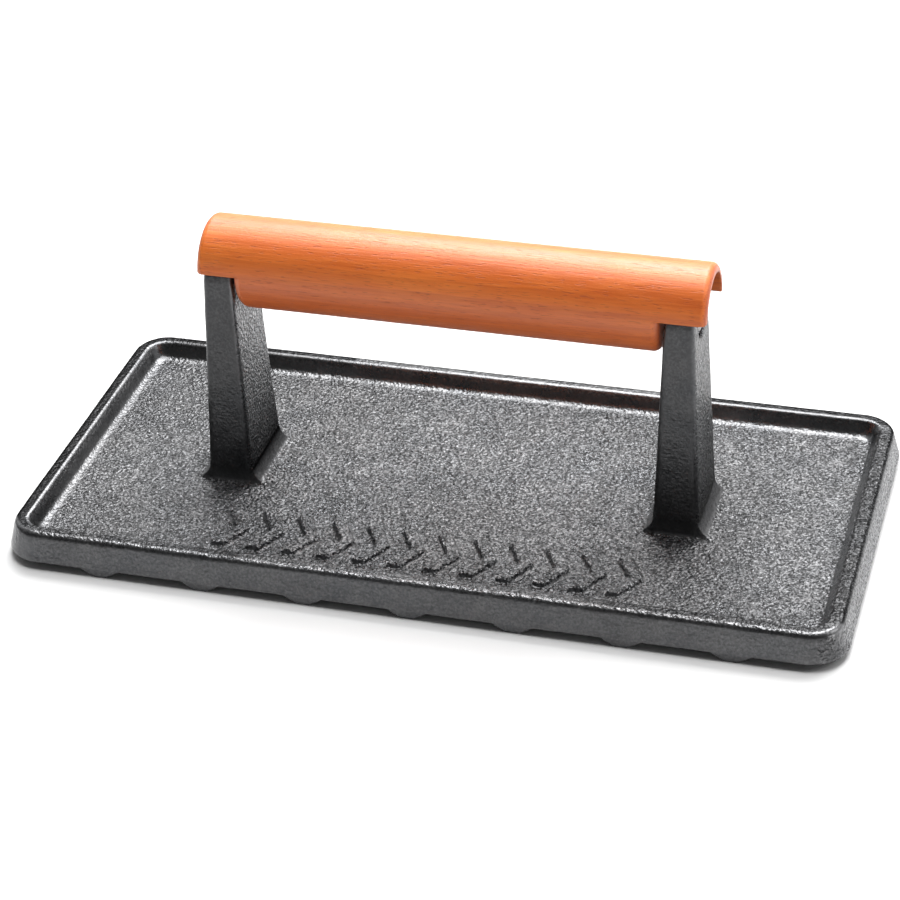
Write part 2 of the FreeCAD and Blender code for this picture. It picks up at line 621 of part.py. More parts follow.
def make_grip():
    notch_low = -16.0     # below the grip, measured from its axis
    notch_deep = 60.0     # wider than the grip
    grip_z, grip_rad = size["grip_z"], size["grip_rad"]
    body = new_body("wood_grip")

    sketch = new_sketch(body, "grip_round", "YZ_Plane", "z", size["grip_shift"],
                        "dims.grip_shift")
    outline = sketch.addGeometry(circle((0, grip_z), grip_rad), False)
    constrain(sketch, "PointOnObject", outline, 3, V_AXIS)
    place(sketch, "Y", (outline, 3), grip_z, "axis_height", "dims.grip_z")
    dimension(sketch, "Radius", [outline], grip_rad, "radius", "dims.grip_rad")
    extrude(body, "Pad", "grip_bar", sketch, size["grip_len"], "dims.grip_len",
            symmetric=True)

    def at_both_ends(edge, centre, length):
        return abs(abs(middle(edge).x - centre) - length / 2) < 1e-3

    fillet(body, "grip_end_edge", "grip_end_round",
           lambda edge: at_both_ends(edge, size["grip_shift"], size["grip_len"]))

    # lower half cut away over the posts
    sketch = new_sketch(body, "notch_outline", "XZ_Plane", "y", grip_z, "dims.grip_z",
                        turn=-size["grip_roll"])
    for side, tag in SIDES:
        hood_rectangle(sketch, side, tag, notch_low, size["hood_cut"],
                       "high_", "dims.hood_cut")
    extrude(body, "Pocket", "post_notches", sketch, notch_deep, symmetric=True)

    # hollow hoods over the post tops
    sketch = new_sketch(body, "hood_hollow", "XZ_Plane", "y", grip_z, "dims.grip_z")
    for side, tag in SIDES:
        hood_rectangle(sketch, side, tag, 0, size["hood_rad"], "inside_", "dims.hood_rad")
    revolve(body, "Groove", "hoods", sketch)

    # lower corners of the full round part, where it meets the posts
    fillet(body, "notch_corner", "body_corner",
           lambda edge: at_both_ends(edge, size["body_shift"], size["grip_body"])
           and middle(edge).z < grip_z - grip_rad + 0.3)
    cut_pilot_holes(body)
    return body


# ------------------------------------------------------- screws and washers
def put_on_side(body, side, x, x_expr):
    """Move to a post at screw height, with local +X pointing outward."""
    angle = 0 if side > 0 else 180
    body.Placement = FreeCAD.Placement(Vector(side * x, 0, size["screw_z"]),
                                       FreeCAD.Rotation(Vector(0, 0, 1), angle))
    body.setExpression("Placement.Base.x", f"{side} * ({x_expr})")
    body.setExpression("Placement.Base.z", "dims.screw_z")


def make_screw(name, side):
    """Pan head wood screw; its axis is local X with the head toward +X and the
    underside of the head at local x = 0."""
    shank_less, core_less = 0.05, 0.42    # under the thread's outside radius
    point_len = 3.2
    core_end, shank_start = 5.0, 4.6      # under the head, with a cone between
    head_rim = 0.9                        # straight part of the head's side
    dome_back, dome_ratio = 0.42, 0.62    # mid point of the dome: back from the
    #                                       top, and share of the head radius
    outside, length = size["screw_dia"] / 2, size["screw_len"]
    head_rad, head_high = size["head_dia"] / 2, size["head_high"]
    shank, core = outside - shank_less, outside - core_less
    body = new_body(name)

    # half profile: tip, core, shank, flat underside, straight rim, domed top
    sketch = new_sketch(body, name + "_profile", "XZ_Plane")
    path = [(-length, 0.0), (-length + point_len, core), (-core_end, core),
            (-shank_start, shank), (0.0, shank), (0.0, head_rad), (head_rim, head_rad)]
    lines = [add_line(sketch, start, end) for start, end in zip(path[:-1], path[1:])]
    sketch.addGeometry(Part.Arc(
        Vector(head_rim, head_rad, 0),
        Vector(head_high - dome_back, head_rad * dome_ratio, 0),
        Vector(head_high, 0, 0)), False)
    axis = add_line(sketch, (head_high, 0), (-length, 0))
    chain(sketch, lines)
    constrain(sketch, "PointOnObject", axis, 1, H_AXIS)
    constrain(sketch, "PointOnObject", axis, 2, H_AXIS)
    constrain(sketch, "Coincident", axis, 2, lines[0], 1)
    constrain_each(sketch, "Horizontal", lines[1::2])
    constrain(sketch, "Vertical", lines[4])
    place(sketch, "X", (lines[0], 1), -length, "length", "dims.screw_len")
    place(sketch, "Y", (lines[5], 1), head_rad, "head", "dims.head_dia / 2")
    place(sketch, "Y", (lines[3], 1), shank, "shank", f"dims.screw_dia / 2 - {shank_less}")
    place(sketch, "Y", (lines[1], 1), core, "core", f"dims.screw_dia / 2 - {core_less}")
    constrain(sketch, "PointOnObject", lines[3], 2, V_AXIS)
    dimension(sketch, "DistanceX", [lines[5], 1, lines[5], 2], head_rim, "rim")
    place(sketch, "X", (axis, 1), head_high, "headhigh", "dims.head_high")
    dimension(sketch, "DistanceX", [lines[0], 1, lines[0], 2], point_len, "point")
    place(sketch, "X", (lines[1], 2), -core_end, "runout")
    dimension(sketch, "DistanceX", [lines[2], 1, lines[2], 2], core_end - shank_start,
              "step")
    revolve(body, "Revolution", name + "_turned", sketch)

    # raised thread on the core, its root sunk a little into the core
    thread_pitch, thread_len = 1.3, 15.6
    thread_x = -length + point_len + 0.2
    root_y = core - 0.12
    sketch = new_sketch(body, name + "_thread_profile", "XZ_Plane")
    polygon(sketch, [(thread_x, root_y), (thread_x + 0.62, root_y),
                     (thread_x + 0.36, outside), (thread_x + 0.26, outside)])
    doc.recompute()
    thread = body.newObject("PartDesign::AdditiveHelix", name + "_thread")
    thread.Profile = sketch
    thread.ReferenceAxis = (sketch, ["H_Axis"])
    thread.Mode = 0    # driven by pitch and height
    thread.Pitch = thread_pitch
    thread.Height = thread_len
    thread.Turns = round(thread_len / thread_pitch)
    thread.LeftHanded = False
    thread.Reversed = False
    doc.recompute()

    # cross recess in the domed head, cut from just above its top
    above = 0.2
    arm, reach = 0.42, 1.75    # half width and half length of the cross arms
    sketch = new_sketch(body, name + "_recess_profile", "YZ_Plane", "z",
                        head_high + above, f"dims.head_high + {above}")
    polygon(sketch, [
        (-arm, -reach), (arm, -reach), (arm, -arm), (reach, -arm),
        (reach, arm), (arm, arm), (arm, reach), (-arm, reach),
        (-arm, arm), (-reach, arm), (-reach, -arm), (-arm, -arm)])
    extrude(body, "Pocket", name + "_recess", sketch, length=1.7, taper=-12)
    put_on_side(body, side, size["seat_x"] + size["washer_thick"],
                "dims.seat_x + dims.washer_thick")
    return body


def make_washer(name, side):
    """Split spring washer pressed flat; local X is its axis."""
    body = new_body(name)
    sketch = new_sketch(body, name + "_ring", "YZ_Plane")
    rings = [(label, alias, sketch.addGeometry(circle((0, 0), size[alias] / 2), False))
             for label, alias in (("outside", "washer_dia"), ("inside", "washer_bore"))]
    for label, alias, ring in rings:
        constrain(sketch, "Coincident", ring, 3, *ORIGIN)
        dimension(sketch, "Radius", [ring], size[alias] / 2, label, f"dims.{alias} / 2")
    thick = size["washer_thick"]
    extrude(body, "Pad", name + "_body", sketch, thick, "dims.washer_thick")

    # slanted split through one side of the ring
    beyond = 0.2               # the cut passes both faces by this much
    near, far = 0.15, 0.55     # corner heights of the slanted cut
    split_reach = 8.0          # past the outside of the ring
    sketch = new_sketch(body, name + "_split_profile", "XZ_Plane")
    polygon(sketch, [(-beyond, -far), (-beyond, -near),
                     (thick + beyond, far), (thick + beyond, near)])
    extrude(body, "Pocket", name + "_split", sketch, split_reach, backward=True)
    put_on_side(body, side, size["seat_x"], "dims.seat_x")
    return body


# --------------------------------------------------------------------- build
bodies = [make_casting(), make_grip(),
          make_screw("left_screw", -1), make_screw("right_screw", 1),
          make_washer("left_washer", -1), make_washer("right_washer", 1)]
doc.recompute()

for obj in doc.Objects:
    if "Invalid" in obj.State or "Error" in obj.State:
        raise RuntimeError(f"{obj.Name}: {obj.State}")
os.makedirs("parts", exist_ok=True)
for body in bodies:
    shape = body.Shape
    if shape.isNull() or not shape.isValid():
        raise RuntimeError(body.Label + " has no valid shape")
    if len(shape.Solids) != 1:
        raise RuntimeError(f"{body.Label} has {len(shape.Solids)} solids")
    shape.exportStep(f"parts/{body.Label}.step")
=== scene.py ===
"""A cast-iron press with a stained wooden grip, its screws and its washers.

Metres, +Z up. The base stands on z = 0 with its long sides along X; a post rises near
each end in X and the grip lies along X between them. The camera looks from the front,
-Y, and a little from the right, +X.
"""

from types import SimpleNamespace

import bmesh
import bpy
import numpy as np
from mathutils import Matrix, Vector
from mathutils.bvhtree import BVHTree


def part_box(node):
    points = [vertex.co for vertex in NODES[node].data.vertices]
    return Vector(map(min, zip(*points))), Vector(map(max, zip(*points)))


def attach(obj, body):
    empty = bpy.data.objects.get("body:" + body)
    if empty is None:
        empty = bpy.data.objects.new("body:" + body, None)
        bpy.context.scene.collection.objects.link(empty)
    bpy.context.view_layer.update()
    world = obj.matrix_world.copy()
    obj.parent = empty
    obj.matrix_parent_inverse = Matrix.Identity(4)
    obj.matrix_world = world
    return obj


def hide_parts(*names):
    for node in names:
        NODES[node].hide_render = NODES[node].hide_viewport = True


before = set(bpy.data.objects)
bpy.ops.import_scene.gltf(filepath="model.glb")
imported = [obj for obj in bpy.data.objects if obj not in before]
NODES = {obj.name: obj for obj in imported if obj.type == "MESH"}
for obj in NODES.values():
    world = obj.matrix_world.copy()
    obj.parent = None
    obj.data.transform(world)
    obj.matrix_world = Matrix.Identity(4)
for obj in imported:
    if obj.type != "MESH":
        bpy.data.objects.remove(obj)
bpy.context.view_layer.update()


def mid_z(box):
    return (box[0][2] + box[1][2]) / 2


# casting
CAST_VOXEL = 0.00052
HALF_X, HALF_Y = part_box("press_casting")[1][:2]
RIM_Z, FLOOR_Z = 0.010, 0.006   # top of the rim and of the sunken floor
POST_X = 0.045                  # the posts stand farther out than this
SCREW_Z = mid_z(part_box("left_screw"))
# strip along X in the front part of the base, left out of the rim and wall masks
STRIP_Y, STRIP_HALF_DEPTH, STRIP_HALF_LENGTH = -0.0336, 0.0088, 0.062

# grip
GRIP_VOXEL = 0.00036
GRIP_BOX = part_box("wood_grip")
GRIP_Z = mid_z(GRIP_BOX)
GRIP_RADIUS = (GRIP_BOX[1][1] - GRIP_BOX[0][1]) / 2


# ------------------------------------------------------------ noise and masks
def lattice_hash(ix, iy, iz, seed):
    """Repeatable hash of integer lattice points, 0..1."""
    h = (ix * 374761393 + iy * 668265263 + iz * 2147483647 + seed * 974634777) & 0xFFFFFFFF
    h = ((h ^ (h >> 13)) * 1274126177) & 0xFFFFFFFF
    h = (h ^ (h >> 16)) & 0xFFFFFFFF
    h = (h * 2246822519) & 0xFFFFFFFF
    h = (h ^ (h >> 15)) & 0xFFFFFFFF
    return h.astype(np.float64) / 4294967295.0


def value_noise(points, size, seed):
    """Smooth noise in -1..1; size is the feature size in metres."""
    scaled = points / size
    cell = np.floor(scaled)
    t = scaled - cell
    fade = t * t * t * (t * (t * 6 - 15) + 10)
    cell = cell.astype(np.int64)
    total = np.zeros(len(points))
    for corner in np.ndindex(2, 2, 2):
        weight = np.where(corner, fade, 1 - fade).prod(axis=1)
        total += weight * lattice_hash(*(cell + corner).T, seed)
    return total * 2 - 1


def rise(values, start, end):
    """Smooth step: 0 below start, 1 above end."""
    t = np.clip((values - start) / (end - start), 0, 1)
    return t * t * (3 - 2 * t)


def fall(values, start, end):
    """Smooth step down: 1 below start, 0 above end."""
    return 1 - rise(values, start, end)


# ---------------------------------------------------------------- mesh helpers
def merged_copy(node):
    """A copy of a CAD node's mesh with its doubled vertices merged."""
    mesh = NODES[node].data.copy()
    bm = bmesh.new()
    bm.from_mesh(mesh)
    bmesh.ops.remove_doubles(bm, verts=bm.verts, dist=2e-6)
    bm.to_mesh(mesh)
    bm.free()
    return mesh


def remeshed(node, name, voxel):
    """A new object: the CAD node re-skinned with an even voxel mesh."""
    source = merged_copy(node)
    source.materials.clear()
    ob = bpy.data.objects.new(name, source)
    bpy.context.scene.collection.objects.link(ob)
    remesh = ob.modifiers.new("remesh", "REMESH")
    remesh.mode = "VOXEL"
    remesh.voxel_size = voxel
    remesh.adaptivity = 0.0
    bpy.context.view_layer.update()
    depsgraph = bpy.context.evaluated_depsgraph_get()
    skin = bpy.data.meshes.new_from_object(ob.evaluated_get(depsgraph))
    ob.modifiers.clear()
    ob.data = skin
    bpy.data.meshes.remove(source)
    return ob


def read_vectors(mesh, field):
    flat = np.zeros(len(mesh.vertices) * 3)
    mesh.vertices.foreach_get(field, flat)
    return flat.reshape(-1, 3)


def coords(mesh):
    return read_vectors(mesh, "co")


def normals(mesh):
    return read_vectors(mesh, "normal")


def set_coords(mesh, co):
    mesh.vertices.foreach_set("co", co.astype(np.float32).ravel())
    mesh.update()


def set_attribute(mesh, name, values):
    attribute = mesh.attributes.new(name, "FLOAT", "POINT")
    attribute.data.foreach_set("value", values.astype(np.float32))


def neighbour_mean(mesh):
    """A function that averages vertex values over each vertex's edge neighbours."""
    pairs = np.zeros(len(mesh.edges) * 2, dtype=np.int64)
    mesh.edges.foreach_get("vertices", pairs)
    count = len(mesh.vertices)
    degree = np.maximum(np.bincount(pairs, minlength=count), 1).astype(float)
    first, second = pairs.reshape(-1, 2).T

    def mean(values):
        if values.ndim == 2:
            return np.stack([mean(column) for column in values.T], axis=1)
        return (np.bincount(first, values[second], count)
                + np.bincount(second, values[first], count)) / degree
    return mean


def relax(mesh, rounds, steps=(0.5, -0.52), weight=None):
    """Smooth the mesh. The default steps (Taubin) keep its size; two positive steps
    round it off."""
    co = coords(mesh)
    mean = neighbour_mean(mesh)
    for _ in range(rounds):
        for step in steps:
            shift = mean(co) - co
            if weight is not None:
                shift *= weight[:, None]
            co = co + step * shift
    set_coords(mesh, co)


def blur(mesh, values, rounds, share):
    """Spread vertex values; share is how much comes from the neighbours."""
    mean = neighbour_mean(mesh)
    for _ in range(rounds):
        values = (1 - share) * values + share * mean(values)
    return values


def bend_of(mesh, voxel):
    """Convex edges positive, hollows negative, flats zero."""
    co = coords(mesh)
    bend = ((co - neighbour_mean(mesh)(co)) * normals(mesh)).sum(1) / voxel
    return blur(mesh, bend, rounds=3, share=0.6)


def onto_cad(mesh, node, reach):
    """Lay the skin back on the CAD surface, so edges and fillets keep their size."""
    source = merged_copy(node)
    bm = bmesh.new()
    bm.from_mesh(source)
    surface = BVHTree.FromBMesh(bm)
    co = coords(mesh)
    for i, point in enumerate(co.tolist()):
        hit = surface.find_nearest(point, reach)[0]
        if hit is not None:
            co[i] = hit
    bm.free()
    bpy.data.meshes.remove(source)
    set_coords(mesh, co)


def shade_smooth(ob):
    ob.data.polygons.foreach_set("use_smooth", [True] * len(ob.data.polygons))
    ob.data.update()


def assign(ob, material):
    ob.data.materials.clear()
    ob.data.materials.append(material)


# -------------------------------------------------------------- shader helpers
class Shader:
    """Builds the node tree of a material or world. Except for add, the methods hand
    back an output socket; any value may be a number, a colour or a socket."""

    def __init__(self, owner):
        owner.use_nodes = True
        self.tree = owner.node_tree
        self.tree.nodes.clear()

    def plug(self, socket, value):
        if isinstance(value, bpy.types.NodeSocket):
            self.tree.links.new(value, socket)
        else:
            socket.default_value = value

    def add(self, kind, **values):
        """A node with inputs (spaces written as _) and properties set by name."""
        node = self.tree.nodes.new(kind)
        for key, value in values.items():
            label = key.replace("_", " ")
            if label in node.inputs:
                self.plug(node.inputs[label], value)
            else:
                setattr(node, key, value)
        return node

    def math(self, operation, *values):
        node = self.add("ShaderNodeMath", operation=operation)
        for socket, value in zip(node.inputs, values):
            self.plug(socket, value)
        return node.outputs[0]

    def plus(self, a, b):
        return self.math("ADD", a, b)

    def minus(self, a, b):
        return self.math("SUBTRACT", a, b)

    def times(self, a, b):
        return self.math("MULTIPLY", a, b)

    def remap(self, value, span, to=(0.0, 1.0), kind="SMOOTHSTEP"):
        """Carry the range span over to the range to."""
        return self.add("ShaderNodeMapRange", interpolation_type=kind, Value=value,
                        From_Min=span[0], From_Max=span[1],
                        To_Min=to[0], To_Max=to[1]).outputs["Result"]

    def coordinate(self, space="Object"):
        return self.add("ShaderNodeTexCoord").outputs[space]

    def attribute(self, name):
        return self.add("ShaderNodeAttribute", attribute_name=name).outputs["Fac"]

    def separate(self, vector):
        return self.add("ShaderNodeSeparateXYZ", Vector=vector).outputs

    def stretch(self, vector, x=1, y=1):
        """Scale the coordinates; a small factor draws the pattern out along that axis."""
        return self.add("ShaderNodeMapping", Scale=(x, y, 1), Vector=vector).outputs["Vector"]

    def noise(self, vector, scale, detail, rough):
        return self.add("ShaderNodeTexNoise", Vector=vector, Scale=scale, Detail=detail,
                        Roughness=rough).outputs["Fac"]

    def ramp(self, factor, stops):
        """A colour ramp; stops are (position, colour)."""
        node = self.add("ShaderNodeValToRGB", Fac=factor)
        elements = node.color_ramp.elements
        while len(elements) > 1:
            elements.remove(elements[-1])
        elements[0].position, elements[0].color = stops[0]
        for position, color in stops[1:]:
            elements.new(position).color = color
        return node.outputs["Color"]

    def tint(self, color, layers):
        """Mix layers of (factor, colour) over a colour, one after another."""
        for factor, over in layers:
            node = self.add("ShaderNodeMix", data_type="RGBA")
            # of the Mix node's sockets, 0 is the factor and 6, 7 and output 2 are colours
            for index, value in ((0, factor), (6, color), (7, over)):
                self.plug(node.inputs[index], value)
            color = node.outputs[2]
        return color

    def bumps(self, layers):
        """Stack bump layers of (height, distance in metres, strength)."""
        below = {}
        for height, distance, strength in layers:
            node = self.add("ShaderNodeBump", Distance=distance, Strength=strength,
                            Height=height, **below)
            below = {"Normal": node.outputs["Normal"]}
        return below["Normal"]

    def mix_shaders(self, factor, first, second):
        node = self.add("ShaderNodeMixShader", Fac=factor)
        for index, value in ((1, first), (2, second)):
            self.plug(node.inputs[index], value)
        return node.outputs["Shader"]

    def camera_ray(self):
        return self.add("ShaderNodeLightPath").outputs["Is Camera Ray"]

    def surface(self, socket, kind="ShaderNodeOutputMaterial"):
        self.add(kind, Surface=socket)

    def principled(self, **values):
        self.surface(self.add("ShaderNodeBsdfPrincipled", **values).outputs["BSDF"])


def new_material(name):
    material = bpy.data.materials.new(name)
    return material, Shader(material)


# ------------------------------------------------------------------- materials
def iron_material():
    """Sand-cast iron, oiled: black body, satin skin, pebbled grain; faces toward
    front and back are smoother and carry faint drag lines."""
    material, s = new_material("sand_cast_iron")
    place = s.coordinate()
    flank, grit, bend, painted_light = (s.attribute(a) for a in ("flank", "grit", "bend", "painted_light"))

    grain = s.noise(place, scale=1250.0, detail=2.0, rough=0.55)
    fine_grain = s.noise(place, scale=1750.0, detail=1.0, rough=0.5)
    cells = s.add("ShaderNodeTexVoronoi", feature="SMOOTH_F1", Scale=1100.0,
                  Smoothness=0.6, Vector=place).outputs["Distance"]
    mottle = s.noise(place, scale=95.0, detail=4.0, rough=0.6)
    cloud = s.noise(place, scale=22.0, detail=3.0, rough=0.5)
    drag = s.noise(s.stretch(place, x=0.05), scale=1500.0, detail=3.0, rough=0.6)
    speck = s.noise(place, scale=1550.0, detail=1.0, rough=0.6)

    pebble = s.plus(grain, s.times(s.minus(1.0, cells), 0.55))
    pebble = s.plus(pebble, s.times(fine_grain, 0.35))
    normal = s.bumps([(mottle, 0.0012, 0.3),
                      (pebble, 0.0008, grit),
                      (drag, 0.00012, s.times(flank, 0.35))])

    body = s.ramp(mottle, [(0.28, (0.064, 0.066, 0.070, 1)),
                           (0.52, (0.088, 0.089, 0.092, 1)),
                           (0.75, (0.116, 0.116, 0.118, 1))])
    # lighter pebbles, darker clouds, dark hollows, worn edges
    color = s.tint(body, [
        (s.remap(pebble, span=(0.75, 1.35), to=(0.0, 0.35)), (0.155, 0.156, 0.160, 1)),
        (s.remap(cloud, span=(0.35, 0.7), to=(0.0, 0.35)), (0.07, 0.068, 0.068, 1)),
        (s.remap(bend, span=(-0.12, -0.02), to=(0.15, 0.0)), (0.045, 0.042, 0.040, 1)),
        (s.remap(bend, span=(0.05, 0.14), to=(0.0, 0.45)), (0.18, 0.18, 0.182, 1))])
    # specks brighten and darken the gritty places; painted light and shade brightens and
    # darkens whole regions
    gain = s.minus(s.remap(speck, span=(0.36, 0.66), to=(0.46, 2.28)), 1.0)
    gain = s.times(s.plus(1.0, s.times(gain, grit)), painted_light)
    lit = s.add("ShaderNodeVectorMath", operation="SCALE", Vector=color, Scale=gain)
    # where painted shade darkens the iron, its reflection is dimmed as well
    sheen = s.add("ShaderNodeCombineColor", **{
        channel: s.remap(painted_light, span=(0.3, 1.0), to=(0.25, 1.0), kind="LINEAR")
        for channel in ("Red", "Green", "Blue")})

    rough = s.remap(mottle, span=(0.3, 0.7), to=(0.25, 0.34), kind="LINEAR")
    rough = s.plus(rough, s.remap(grain, span=(0.3, 0.7), to=(-0.03, 0.04), kind="LINEAR"))
    rough = s.plus(rough, s.times(flank, 0.06))
    s.principled(Metallic=0.9, Normal=normal, Base_Color=lit.outputs["Vector"],
                 Specular_Tint=sheen.outputs["Color"], Roughness=rough)
    return material


def wood_material():
    """Close-grained hardwood, orange-brown stain under a satin varnish; growth
    rings run about a line along X, so they show as arcs on the ends and as long
    bands down the sides."""
    ring_y, ring_z = 0.021, 0.035   # the line the rings run about
    ring_wander = 0.0042
    ring_pitch = 0.0021
    material, s = new_material("stained_wood")
    place = s.coordinate()
    fibre = s.noise(s.stretch(place, x=0.045), scale=1900.0, detail=4.0, rough=0.62)
    bands = s.noise(s.stretch(place, x=0.05), scale=210.0, detail=3.0, rough=0.55)
    pores = s.noise(s.stretch(place, x=0.11), scale=3300.0, detail=1.0, rough=0.5)
    blotch = s.noise(place, scale=38.0, detail=2.0, rough=0.5)
    wander = s.noise(s.stretch(place, x=0.25), scale=60.0, detail=2.0, rough=0.5)
    bend, ends, under = (s.attribute(a) for a in ("bend", "ends", "under"))

    axes = s.separate(place)
    dy = s.plus(axes["Y"], -ring_y)
    dz = s.plus(axes["Z"], -ring_z)
    radius = s.math("SQRT", s.plus(s.times(dy, dy), s.times(dz, dz)))
    radius = s.plus(radius, s.times(wander, ring_wander))
    ring = s.remap(s.math("FRACT", s.times(radius, 1.0 / ring_pitch)), span=(0.25, 1.0))

    body = s.ramp(s.plus(s.times(fibre, 0.6), s.times(bands, 0.4)),
                  [(0.22, (0.60, 0.096, 0.011, 1)),
                   (0.5, (0.81, 0.182, 0.025, 1)),
                   (0.78, (0.98, 0.285, 0.044, 1))])
    # rings, pores, blotches, convex edges, end faces, and painted shade on the underside
    color = s.tint(body, [
        (s.times(ring, 0.2), (0.46, 0.066, 0.009, 1)),
        (s.remap(pores, span=(0.60, 0.72), to=(0.0, 0.42)), (0.26, 0.034, 0.008, 1)),
        (s.remap(blotch, span=(0.35, 0.7), to=(0.0, 0.22)), (0.62, 0.10, 0.014, 1)),
        (s.remap(bend, span=(0.05, 0.22), to=(0.0, 0.4)), (0.42, 0.06, 0.014, 1)),
        (s.times(ends, 0.5), (0.34, 0.048, 0.012, 1)),
        (s.times(under, 0.55), (0.32, 0.062, 0.022, 1))])

    rough = s.remap(fibre, span=(0.3, 0.7), to=(0.34, 0.46), kind="LINEAR")
    rough = s.plus(rough, s.remap(pores, span=(0.58, 0.72), to=(0.0, 0.15)))
    normal = s.bumps([(bands, 0.0005, 0.3),
                      (fibre, 0.00012, 0.55),
                      (s.minus(1.0, s.remap(pores, span=(0.58, 0.72))), 0.00005, 0.6)])
    coat_normal = s.bumps([(bands, 0.0004, 0.3),
                           (fibre, 0.00006, 0.5)])
    s.principled(Base_Color=color, Roughness=rough, Normal=normal,
                 Coat_Weight=0.27, Coat_Roughness=0.42, Coat_Normal=coat_normal)
    return material


def steel_material(name, brightness, roughness, tint):
    """Plated steel: fine tumbling marks and small dark stains."""
    material, s = new_material(name)
    place = s.coordinate()
    fine = s.noise(place, scale=4200.0, detail=3.0, rough=0.6)
    marks = s.noise(s.stretch(place, y=0.2), scale=2600.0, detail=3.0, rough=0.6)
    stain = s.noise(place, scale=700.0, detail=3.0, rough=0.55)

    def shade(level, hue):
        return (*(brightness * level * part for part in hue), 1)

    body = s.ramp(stain, [(0.3, shade(0.62, tint)), (0.7, shade(1.15, tint))])
    color = s.tint(body, [(s.remap(stain, span=(0.62, 0.72), to=(0.0, 0.5)),
                           shade(1, (0.3, 0.28, 0.26)))])
    rough = s.remap(marks, span=(0.3, 0.7), to=(roughness - 0.07, roughness + 0.12),
                    kind="LINEAR")
    normal = s.bumps([(marks, 0.00003, 0.6),
                      (fine, 0.00002, 0.6)])
    s.principled(Metallic=1.0, Base_Color=color, Roughness=rough, Normal=normal)
    return material


# --------------------------------------------------------------------- casting
# In the masks, each rise or fall gives where the mask starts and ends: metres for
# places, a part of a unit normal for directions.
def in_strip(x, y):
    return (np.abs(y - STRIP_Y) < STRIP_HALF_DEPTH) & (np.abs(x) < STRIP_HALF_LENGTH)


def back_left(x, y, start, full):
    """Mask along the back and left sides; start and full are distances in from them."""
    return np.maximum(rise(y, HALF_Y - start, HALF_Y - full),
                      rise(-x, HALF_X - start, HALF_X - full))


def ease_edges(mesh):
    """Round the edges of the rim and posts; return the masks that later steps share."""
    x, y, z = coords(mesh).T
    turn = rise(np.abs(bend_of(mesh, CAST_VOXEL)), 0.02, 0.06)
    turn = blur(mesh, turn, rounds=4, share=0.7)
    near_turn = np.clip(2 * turn, 0, 1)
    gap = np.minimum(HALF_X - np.abs(x), HALF_Y - np.abs(y))   # in from the outer sides
    brim = rise(z, 0.0050, 0.0058) * fall(gap, 0.0112, 0.0126) * ~in_strip(x, y)
    mast = rise(z, 0.012, 0.016) * (np.abs(x) > POST_X)
    mast = mast * rise(np.hypot(y, z - SCREW_Z), 0.0050, 0.0070)
    relax(mesh, 6, steps=(0.5, 0.5),
          weight=near_turn * brim * (1 - 0.75 * rise(z, 0.0078, 0.0088)))
    relax(mesh, 3, steps=(0.5, 0.5), weight=near_turn * mast)
    trim = np.clip(1.6 * turn, 0, 1) * np.maximum(brim, mast)
    return SimpleNamespace(gap=gap, brim=brim, trim=trim)


def casting_grit(co, nr, bend, masks):
    """How pebbled the iron is, 0..1: less on flanks, walls, hollows and eased edges."""
    x, y, z = co.T
    face_x, up = np.abs(nr[:, 0]), nr[:, 2]
    flank, low, wall, trim = masks.flank, masks.low, masks.wall, masks.trim
    hollow = rise(-bend, 0.03, 0.12)
    rear = back_left(x, y, start=0.0105, full=0.0095) * low
    # the long rims, the left rim and everything above the rim
    long_rim = 1 - (1 - back_left(x, np.abs(y), start=0.0125, full=0.0105)) * low
    corner = fall(face_x, 0.90, 0.97) * (1 - flank) * fall(up, 0.45, 0.65) * low
    corner = corner * (masks.gap < 0.0035)
    grit = (1 - 0.84 * flank) * (1 - 0.85 * wall) * (1 - 0.55 * hollow) * (1 - 0.6 * rear)
    grit = grit * (1 - 0.88 * trim * np.maximum(long_rim, 0.35))
    return grit * (1 - 0.7 * corner)


def casting_relief(co, bend, grit, masks):
    """Uneven sand-cast surface, in metres along the normal; still near the screw bores."""
    x, y, z = co.T
    flank, trim = masks.flank, masks.trim
    edge = rise(bend, 0.05, 0.18)
    relief = (0.050e-3 * value_noise(co, size=0.016, seed=11)
              + 0.045e-3 * (1 - 0.3 * trim) * value_noise(co, size=0.006, seed=12)
              + 0.028e-3 * (1 - 0.5 * flank) * (1 - 0.6 * trim)
              * value_noise(co, size=0.0028, seed=13)
              + (0.020e-3 * grit + 0.04e-3 * edge * (1 - 0.85 * trim))
              * value_noise(co, size=0.00155, seed=14))
    off_bore = rise(np.hypot(y, z - SCREW_Z), 0.0045, 0.0065)
    return relief * np.where(np.abs(x) > POST_X, off_bore, 1.0)


